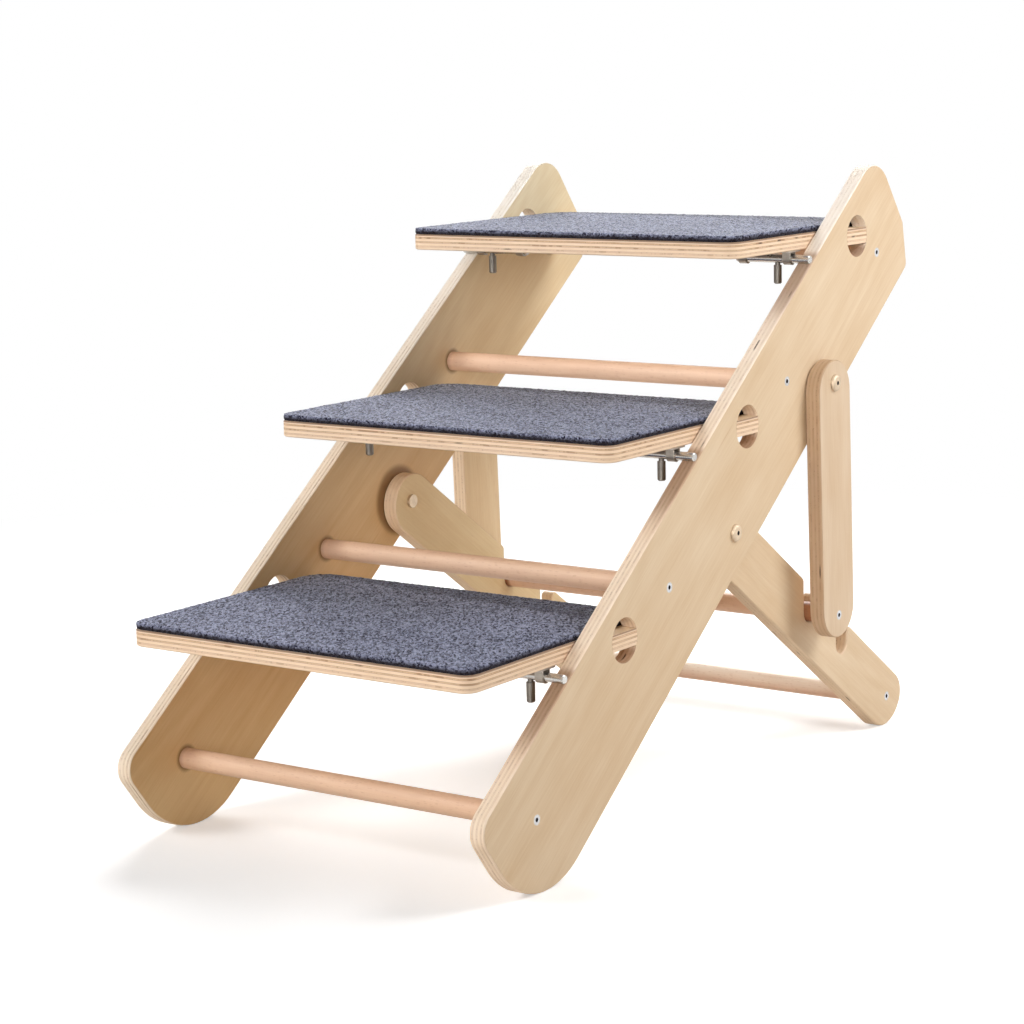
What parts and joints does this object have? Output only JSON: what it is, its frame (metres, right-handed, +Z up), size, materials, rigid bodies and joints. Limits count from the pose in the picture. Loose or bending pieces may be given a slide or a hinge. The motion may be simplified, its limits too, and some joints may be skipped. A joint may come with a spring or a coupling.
{
  "type": "pet stairs",
  "caption": "Folding wooden pet stairs: carpeted treads turn in sloped side boards, sliding bolts hold the treads level, and notched legs with struts prop up the back.",
  "frame": {"origin": "on the floor, at the middle of the overall width and depth", "axes": "+X to the right of a person facing the steps, +Y from the lowest step towards the back, +Z up"},
  "size_m": [0.439, 0.7532, 0.5696],
  "materials": {
    "plywood": "birch plywood, clear satin lacquer",
    "beech": "steamed beech dowel, clear satin lacquer",
    "carpet": "short looped pile, mottled blue grey",
    "zinc": "zinc plated",
    "steel": "zinc plated"
  },
  "bodies": {
    "frame": {"left_side_panel": "plywood", "leg_pivot_bolts": "steel", "leg_pivot_sleeves": "steel", "leg_washers": "steel", "rail_bottom": "beech", "rail_middle": "beech", "rail_screws_left": "steel", "rail_screws_right": "steel", "rail_top": "beech", "rail_upper": "beech", "right_side_panel": "plywood", "strut_pivot_bolts": "steel", "strut_pivot_sleeves": "steel", "strut_washers": "steel"},
    "tread_lower": {"tread_lower": "plywood", "carpet_lower": "carpet", "left_latch_plate_lower": "zinc", "right_latch_plate_lower": "zinc"},
    "left_bolt_lower": {"left_latch_rod_lower": "zinc", "left_latch_handle_lower": "zinc"},
    "right_bolt_lower": {"right_latch_rod_lower": "zinc", "right_latch_handle_lower": "zinc"},
    "tread_middle": {"tread_middle": "plywood", "carpet_middle": "carpet", "left_latch_plate_middle": "zinc", "right_latch_plate_middle": "zinc"},
    "left_bolt_middle": {"left_latch_rod_middle": "zinc", "left_latch_handle_middle": "zinc"},
    "right_bolt_middle": {"right_latch_rod_middle": "zinc", "right_latch_handle_middle": "zinc"},
    "tread_upper": {"tread_upper": "plywood", "carpet_upper": "carpet", "left_latch_plate_upper": "zinc", "right_latch_plate_upper": "zinc"},
    "left_bolt_upper": {"left_latch_rod_upper": "zinc", "left_latch_handle_upper": "zinc"},
    "right_bolt_upper": {"right_latch_rod_upper": "zinc", "right_latch_handle_upper": "zinc"},
    "legs": {"left_leg": "plywood", "right_leg": "plywood", "foot_rail": "beech", "foot_rail_screws": "steel"},
    "struts": {"left_strut": "plywood", "right_strut": "plywood", "strut_bar": "beech", "strut_bar_screws": "steel"}
  },
  "joints": [
    {"name": "tread_lower_turn", "type": "hinge", "parent": "frame", "child": "tread_lower", "pos_m": [0, -0.16579, 0.18848], "axis": [-1, 0, 0], "range_deg": [0, 80]},
    {"name": "left_bolt_lower_slide", "type": "slide", "parent": "tread_lower", "child": "left_bolt_lower", "axis": [1, 0, 0], "range_m": [-0.004, 0.028]},
    {"name": "right_bolt_lower_slide", "type": "slide", "parent": "tread_lower", "child": "right_bolt_lower", "axis": [-1, 0, 0], "range_m": [-0.004, 0.028]},
    {"name": "tread_middle_turn", "type": "hinge", "parent": "frame", "child": "tread_middle", "pos_m": [0, 0.04346, 0.34616], "axis": [-1, 0, 0], "range_deg": [0, 80]},
    {"name": "left_bolt_middle_slide", "type": "slide", "parent": "tread_middle", "child": "left_bolt_middle", "axis": [1, 0, 0], "range_m": [-0.004, 0.028]},
    {"name": "right_bolt_middle_slide", "type": "slide", "parent": "tread_middle", "child": "right_bolt_middle", "axis": [-1, 0, 0], "range_m": [-0.004, 0.028]},
    {"name": "tread_upper_turn", "type": "hinge", "parent": "frame", "child": "tread_upper", "pos_m": [0, 0.2527, 0.50384], "axis": [-1, 0, 0], "range_deg": [0, 2]},
    {"name": "left_bolt_upper_slide", "type": "slide", "parent": "tread_upper", "child": "left_bolt_upper", "axis": [1, 0, 0], "range_m": [-0.004, 0.028]},
    {"name": "right_bolt_upper_slide", "type": "slide", "parent": "tread_upper", "child": "right_bolt_upper", "axis": [-1, 0, 0], "range_m": [-0.004, 0.028]},
    {"name": "legs_fold", "type": "hinge", "parent": "frame", "child": "legs", "pos_m": [0, 0.01987, 0.25201], "axis": [-1, 0, 0], "range_deg": [0, 100]},
    {"name": "struts_fold", "type": "hinge", "parent": "frame", "child": "struts", "pos_m": [0, 0.1784, 0.37147], "axis": [-1, 0, 0], "range_deg": [0, 42]}
  ],
  "couplings": [
    {"joint": "struts_fold", "follows": "legs_fold", "ratio": 0.41}
  ]
}
